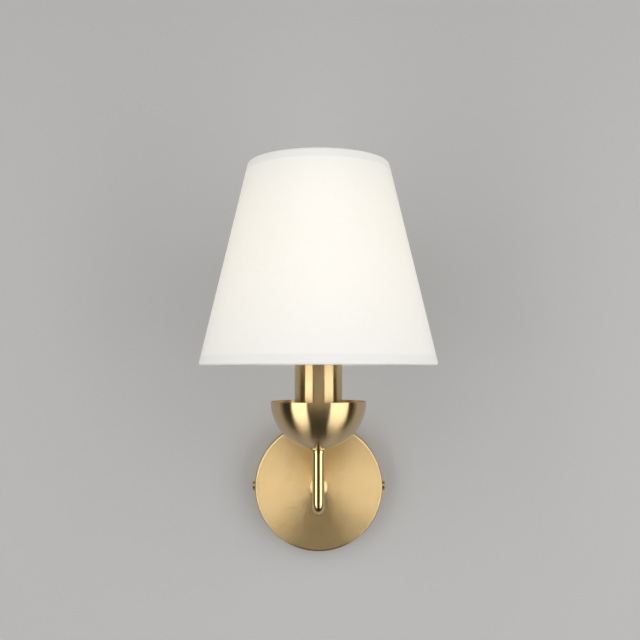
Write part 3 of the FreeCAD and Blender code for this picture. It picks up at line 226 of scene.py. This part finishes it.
# Wall bracket and steel fixings: pressed or turned steel with a thin zinc plate.
# The zinc is grey, cloudy and slightly bluish, and a sheet piece has faint rolling lines.
zinc_steel, nodes = new_material("zinc_steel")
place = nodes.node("SeparateXYZ", {0: nodes.node("TexCoord", out="Object")})
rolling = nodes.lines(place.part("Z"), 900)
bloom = nodes.noise(180, detail=5.0)
surface(nodes, {
    "Metallic": 1.0,
    "Base Color": (bloom * 0.7 + rolling * 0.3).tint((0.50, 0.52, 0.55), (0.72, 0.73, 0.75)),
    "Roughness": 0.30 + bloom * 0.20,
    "Normal": nodes.bump(rolling + bloom, 0.00002),
})
coat(zinc_steel, "wall_bracket", "arm_backing_washer", "arm_lock_washer", "arm_nut", "lamp_stem",
     "sleeve_lock_washer", "stem_grub_screw", "terminal_screws", "block_screw", "earth_tag", "bulb_contact")

# Terminal block, bush and lampholder: moulded plastic, white except for the black bush.
# Moulding leaves a fine matt grain on the block and a smoother, glossier skin on the holder.


def moulded(name, low, high, roughness, grain_depth):
    material, nodes = new_material(name)
    grain = nodes.noise(2600, detail=3.0)
    flow = nodes.noise(30)
    surface(nodes, {
        "Base Color": flow.tint(low, high),
        "Roughness": roughness + grain * 0.12,
        "IOR": 1.5,
        "Normal": nodes.bump(grain, grain_depth),
    })
    return material


coat(moulded("block_plastic", (0.76, 0.76, 0.72), (0.82, 0.82, 0.79), 0.50, 0.00003), "terminal_block")
coat(moulded("bush_plastic", (0.020, 0.020, 0.020), (0.035, 0.035, 0.035), 0.45, 0.00003), "arm_end_bush")
coat(moulded("holder_plastic", (0.80, 0.80, 0.77), (0.86, 0.86, 0.84), 0.25, 0.00001),
     "lampholder_cap", "lampholder_shell", "shade_ring")
coat(moulded("holder_core", (0.78, 0.76, 0.71), (0.84, 0.82, 0.78), 0.40, 0.00002), "lampholder_core")

# Leads: stiff single-core wire in smooth PVC, brown, blue, and green with a yellow stripe.
# They are set by hand between the lampholder, the terminal block and the earth tag.
coat(moulded("lead_brown", (0.16, 0.06, 0.025), (0.20, 0.08, 0.03), 0.35, 0.00001), "live_lead")
coat(moulded("lead_blue", (0.02, 0.09, 0.34), (0.03, 0.12, 0.42), 0.35, 0.00001), "neutral_lead")
earth_pvc, nodes = new_material("earth_pvc")
place = nodes.node("SeparateXYZ", {0: nodes.node("TexCoord", out="Object")})
low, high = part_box("earth_lead")
stripe = (place.part("Y") - (low.y + high.y) / 2).rise(-0.0003, 0.0003)
surface(nodes, {
    "Base Color": stripe.tint((0.10, 0.42, 0.06), (0.85, 0.75, 0.04)),
    "Roughness": 0.35 + nodes.noise(900) * 0.1,
    "IOR": 1.5,
})
coat(earth_pvc, "earth_lead")

# Bulb: a nickel screw cap with black insulating glass, a white body and an opal globe.
# The light board is hidden inside, and only the globe shines.
THREAD_PITCH = 0.0036
THREAD_DEPTH = 0.0006
BULB_LIGHT = (1.0, 0.86, 0.66)

bulb_nickel, nodes = new_material("bulb_nickel")
radius, z = lamp_radius(nodes)
low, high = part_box("bulb_cap")
thread = nodes.math("SINE", (z - low.z) * (2 * math.pi / THREAD_PITCH))
wear = nodes.noise(400, detail=4.0)
surface(nodes, {
    "Metallic": 1.0,
    "Base Color": wear.tint((0.58, 0.57, 0.55), (0.80, 0.79, 0.77)),
    "Roughness": 0.18 + wear * 0.15,
    "Normal": nodes.bump(thread * 0.5 + 0.5, THREAD_DEPTH),
})
coat(bulb_nickel, "bulb_cap")
black_glass, nodes = new_material("black_glass")
surface(nodes, {
    "Base Color": nodes.noise(300).tint((0.006, 0.006, 0.008), (0.02, 0.02, 0.024)),
    "Roughness": 0.08 + nodes.noise(700) * 0.1,
    "IOR": 1.52,
})
coat(black_glass, "bulb_insulator")
coat(moulded("bulb_plastic", (0.84, 0.84, 0.82), (0.88, 0.88, 0.86), 0.30, 0.00001), "bulb_housing")
solder_mask, nodes = new_material("solder_mask")
surface(nodes, {
    "Base Color": nodes.noise(500).tint((0.74, 0.75, 0.74), (0.80, 0.81, 0.80)),
    "Roughness": 0.45 + nodes.noise(800) * 0.1,
})
coat(solder_mask, "led_board")
opal, nodes = new_material("opal_globe")
radius, z = lamp_radius(nodes)
low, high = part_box("bulb_diffuser")
full = (z - low.z).rise(0.0, 0.020)
surface(nodes, {
    "Base Color": full.tint((0.80, 0.80, 0.78), (0.86, 0.85, 0.82)),
    "Roughness": 0.30 + nodes.noise(800) * 0.08,
    "Emission Color": full.tint((0.80, 0.66, 0.48), BULB_LIGHT),
    "Emission Strength": 1.1,
})
coat(opal, "bulb_diffuser")

# Shade frame: steel wire and a pressed fitter ring under a thick white epoxy coat.
# Three wire arms run from the ring down to the bottom wire, and a second wire holds the top.
white_epoxy, nodes = new_material("white_epoxy")
peel = nodes.noise(700)
surface(nodes, {
    "Base Color": nodes.noise(40).tint((0.80, 0.80, 0.78), (0.86, 0.86, 0.84)),
    "Roughness": 0.32 + peel * 0.12,
    "IOR": 1.5,
    "Normal": nodes.bump(peel, 0.00004),
})
coat(white_epoxy, "fitter_ring", "fitter_arms", "bottom_ring", "top_ring")

# Shade cover: one piece of fine white cloth, cut as a ring sector, glued to a stiff film and
# lapped at the back. Its edges are rolled round both wires and tucked behind the film.
# The lit bulb shines through it, least where the rolled hems and the lap double the cloth.
CLOTH = 0.0006
GLUE = 0.0001
WRAP = math.radians(215)
TUCK = 0.0055
TUCK_SLOPE = 0.0026
TUCK_INSET = 0.0012
LAP = 0.010
WEAVE_DEPTH = 0.00012
SHINE_THROUGH = (0.21, 0.175, 0.095)
COLUMNS = 180
ARM_WAYS = (90, 210, 330)


def wire_section(node):
    """Middle and radius of a ring of wire, where the plane through the lamp axis cuts it."""
    low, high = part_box(node)
    wire = (high.z - low.z) / 2
    return Vector((high.x - wire, 0, low.z + wire)), wire


low_wire, _ = wire_section("bottom_ring")
high_wire, wire = wire_section("top_ring")
slope = (high_wire - low_wire).normalized()
outward = Vector((slope.z, 0, -slope.x))
fold = wire + GLUE + CLOTH / 2


def lap_mask(nodes):
    """1 on the strip down the back where one end of the cloth lies over the other."""
    place = nodes.node("SeparateXYZ", {0: nodes.node("TexCoord", out="Object")})
    aside = nodes.math("ABSOLUTE", place.part("X"))
    behind = place.part("Y").rise(LAMP_AXIS.y, LAMP_AXIS.y + 0.001)
    return (1 - aside.rise(LAP / 2 - 0.0003, LAP / 2)) * behind


def glow(nodes, dim):
    """Light that comes through the cover: warm and strongest level with the bulb."""
    radius, z = lamp_radius(nodes)
    share = (z - low_wire.z) / (high_wire.z - low_wire.z)
    near = share.rise(-0.60, 0.55) * (1 - share.rise(0.70, 1.50))
    single = (z - low_wire.z).rise(0.0052, 0.0066) * (high_wire.z - z).rise(0.0045, 0.0059)
    strength = near * (single * 0.4 + 0.6) * dim
    return strength.tint((0.0, 0.0, 0.0), SHINE_THROUGH)


def hem(cover, middle, way):
    """Roll the cloth round one wire from its outer side, and tuck the raw edge in."""
    outer = cover.verts.new(middle + outward * fold)
    rolled = bmesh.ops.spin(cover, geom=[outer], cent=middle, axis=(0, 1, 0), angle=WRAP * way, steps=18)
    end = [item for item in rolled["geom_last"] if isinstance(item, bmesh.types.BMVert)][0]
    inner = middle + outward * (fold - TUCK_INSET) + slope * way * TUCK_SLOPE
    tucked = [cover.verts.new(inner), cover.verts.new(inner + slope * way * (TUCK - TUCK_SLOPE))]
    cover.edges.new((end, tucked[0]))
    cover.edges.new(tucked)
    return outer


cover = bmesh.new()
ends = hem(cover, low_wire, 1), hem(cover, high_wire, -1)
side = cover.edges.new(ends)
bmesh.ops.subdivide_edges(cover, edges=[side], cuts=16)
bmesh.ops.rotate(cover, verts=cover.verts, cent=(0, 0, 0), matrix=Matrix.Rotation(math.pi / COLUMNS, 3, "Z"))
bmesh.ops.translate(cover, verts=cover.verts, vec=LAMP_AXIS)
bmesh.ops.spin(cover, geom=cover.verts[:] + cover.edges[:], cent=LAMP_AXIS, axis=(0, 0, 1),
               angle=2 * math.pi, steps=COLUMNS, use_merge=True)


def at_an_arm(face):
    """Whether a face of the lower tuck is in the way of one of the frame's arms."""
    middle = face.calc_center_median() - LAMP_AXIS
    way = math.atan2(middle.y, middle.x)
    inside = low_wire.x - Vector((middle.x, middle.y)).length > 0.0004
    in_hem = low_wire.z - wire / 2 < middle.z < low_wire.z + TUCK
    near_arm = math.cos(math.pi / COLUMNS / 2)
    return inside and in_hem and any(math.cos(way - math.radians(arm)) > near_arm for arm in ARM_WAYS)


snipped = [face for face in cover.faces if at_an_arm(face)]
bmesh.ops.delete(cover, geom=snipped, context="FACES")
bmesh.ops.recalc_face_normals(cover, faces=cover.faces)
flat_cloth = cover.loops.layers.uv.new("flat_cloth")
apex = low_wire.z + low_wire.x * outward.x / outward.z
for face in cover.faces:
    middle = face.calc_center_median() - LAMP_AXIS
    centre_way = math.atan2(middle.x, -middle.y)
    face.smooth = True
    for loop in face.loops:
        spot = loop.vert.co - LAMP_AXIS
        way = math.atan2(spot.x, -spot.y)
        way += 2 * math.pi * round((centre_way - way) / (2 * math.pi))
        reach = (apex - spot.z) / outward.x
        loop[flat_cloth].uv = (reach * math.sin(way * outward.z), reach * math.cos(way * outward.z))
mesh = bpy.data.meshes.new("shade_cover")
cover.to_mesh(mesh)
cover.free()
shade_cover = bpy.data.objects.new("shade_cover", mesh)
bpy.context.scene.collection.objects.link(shade_cover)
thicken = shade_cover.modifiers.new("cloth", "SOLIDIFY")
thicken.thickness = CLOTH
thicken.offset = 0

shade_cloth, nodes = new_material("shade_cloth")
flat = nodes.node("SeparateXYZ", {0: nodes.node("UVMap", uv_map="flat_cloth")})
warp = nodes.lines(flat.part("X"), 2200, detail=1.0)
weft = nodes.lines(flat.part("Y"), 2200, detail=1.0)
slubs = nodes.noise(220, detail=3.0)
weave = warp * weft + slubs * 0.3
lap = lap_mask(nodes)
light = glow(nodes, 1 - lap * 0.35)
surface(nodes, {
    "Base Color": weave.tint((0.70, 0.70, 0.70), (0.76, 0.76, 0.76)),
    "Roughness": 0.85 + slubs * 0.1,
    "Sheen Weight": 0.15,
    "Sheen Roughness": 0.5,
    "Emission Color": light,
    "Emission Strength": 1.0,
    "Normal": nodes.bump(weave + lap * (CLOTH / WEAVE_DEPTH), WEAVE_DEPTH),
})
mesh.materials.append(shade_cloth)
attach(shade_cover, "shade")
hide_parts("shade_fabric")
cut_angle = 2 * math.pi * outward.z
hem_cloth = WRAP * fold + TUCK
long_reach = low_wire.x / outward.z + hem_cloth
short_reach = high_wire.x / outward.z - hem_cloth
cut_width = 2 * long_reach * math.sin(cut_angle / 2) + LAP
cut_depth = long_reach - short_reach * math.cos(cut_angle / 2)
cut_area = cut_angle / 2 * (long_reach ** 2 - short_reach ** 2) + LAP * (long_reach - short_reach)

# The film gets a weaker painted glow, standing for the bulb's light on it.
liner_film, nodes = new_material("liner_film")
surface(nodes, {
    "Base Color": nodes.noise(90).tint((0.82, 0.82, 0.79), (0.86, 0.86, 0.83)),
    "Roughness": 0.55 + nodes.noise(500) * 0.1,
    "Emission Color": glow(nodes, 0.35),
    "Emission Strength": 1.0,
})
coat(liner_film, "shade_liner")

# Studio: a plain grey wall, a pale floor well below, and soft lights round the lamp.
# None of it belongs to the light fitting. The wall is seen from its front only, and it is open
# behind the backplate, so that a look from behind shows the parts that the wall would hide.
WALL_OPENING = 0.058
FLOOR = -1.15
SIDE_REACH = 0.75
SIDE_DIP = -0.49
FRONT_REACH = 1.60
FRONT_DIP = 0.03


def matt(name, colour, colour_in_metal, lift):
    """A matt surface seen from its front only, lifted for the camera and darker in metal."""
    material, nodes = new_material(name)
    ray = nodes.node("LightPath", out="Is Glossy Ray")
    plain = nodes.node("BsdfDiffuse", {"Color": ray.tint(colour, colour_in_metal)})
    raised = nodes.node("Emission", {"Strength": ray.part("Is Camera Ray") * lift})
    front = nodes.node("AddShader", {0: plain, 1: raised})
    clear = nodes.node("BsdfTransparent")
    behind = nodes.node("NewGeometry", out="Backfacing")
    nodes.node("OutputMaterial", {"Surface": nodes.node("MixShader", {0: behind, 1: front, 2: clear})})
    return material


def backdrop(name, shape, material):
    mesh = bpy.data.meshes.new(name)
    shape.to_mesh(mesh)
    shape.free()
    mesh.materials.append(material)
    made = bpy.data.objects.new(name, mesh)
    bpy.context.scene.collection.objects.link(made)


wall = bmesh.new()
bmesh.ops.create_circle(wall, segments=64, radius=WALL_OPENING)
outer = bmesh.ops.extrude_edge_only(wall, edges=wall.edges[:])["geom"]
bmesh.ops.scale(wall, verts=[item for item in outer if isinstance(item, bmesh.types.BMVert)], vec=(50, 50, 1))
bmesh.ops.rotate(wall, verts=wall.verts, cent=(0, 0, 0), matrix=Matrix.Rotation(math.pi / 2, 3, "X"))
bmesh.ops.recalc_face_normals(wall, faces=wall.faces)
if wall.faces[0].normal.y > 0:
    bmesh.ops.reverse_faces(wall, faces=wall.faces)
backdrop("wall", wall, matt("wall_grey", (0.45, 0.445, 0.44), (0.36, 0.36, 0.36), 0.0))
floor = bmesh.new()
bmesh.ops.create_grid(floor, size=3.0)
bmesh.ops.translate(floor, verts=floor.verts, vec=(0, -3.0, FLOOR))
backdrop("floor", floor, matt("floor_pale", (0.75, 0.75, 0.74), (0.06, 0.06, 0.06), 0.45))


def soft_light(name, way, width, start, end, radiance):
    """A flat light facing the lamp axis from one way round, in degrees.

    It reaches from start to end, which are each a distance from the lamp axis and a height.
    """
    (start_reach, start_height), (end_reach, end_height) = start, end
    length = math.hypot(end_reach - start_reach, end_height - start_height)
    light = bpy.data.lights.new(name, "AREA")
    light.shape = "RECTANGLE"
    light.size = width
    light.size_y = length
    light.energy = radiance * width * length * math.pi
    made = bpy.data.objects.new(name, light)
    bpy.context.scene.collection.objects.link(made)
    turn = math.radians(way)
    reach, height = (start_reach + end_reach) / 2, (start_height + end_height) / 2
    made.location = LAMP_AXIS + Vector((math.sin(turn) * reach, -math.cos(turn) * reach, height))
    made.rotation_euler = (math.atan2(end_height - start_height, start_reach - end_reach), 0, turn)
    made.visible_camera = False


for side, way, width, radiance in (("left", -47, 0.53, 2.15), ("right", 52, 0.64, 1.95)):
    soft_light(side + "_low", way, width, (SIDE_REACH, -1.05), (SIDE_REACH, SIDE_DIP), radiance * 0.6)
    soft_light(side + "_tall", way, width, (SIDE_REACH, SIDE_DIP), (SIDE_REACH, 0.80), radiance)
soft_light("front_low", 2, 1.40, (FRONT_REACH, -1.00), (FRONT_REACH, FRONT_DIP), 0.05)
soft_light("front_tall", 2, 1.40, (FRONT_REACH, FRONT_DIP), (FRONT_REACH, 1.60), 0.72)
soft_light("behind", 180, 2.60, (1.30, -0.80), (1.30, 1.00), 0.9)

world = bpy.data.worlds.new("studio")
bpy.context.scene.world = world
world.use_nodes = True
world.node_tree.nodes.clear()
nodes = Socket(world.node_tree)
ray = nodes.node("LightPath", out="Is Glossy Ray")
level = 0.25 - ray * 0.23 + ray.part("Is Camera Ray") * 0.50
grey = nodes.node("Background", {"Color": (1, 1, 1, 1), "Strength": level})
nodes.node("OutputWorld", {"Surface": grey})
bpy.context.scene.view_settings.view_transform = "Standard"

CAMERA_PLACE = (0.0013, -0.876, 0.1165)
CAMERA_LIFT = 0.058

lens = bpy.data.cameras.new("camera")
lens.sensor_width = 36
lens.lens = 47.9
camera = bpy.data.objects.new("camera", lens)
bpy.context.scene.collection.objects.link(camera)
camera.location = CAMERA_PLACE
camera.rotation_euler = (math.pi / 2 + CAMERA_LIFT, 0, 0)
bpy.context.scene.camera = camera
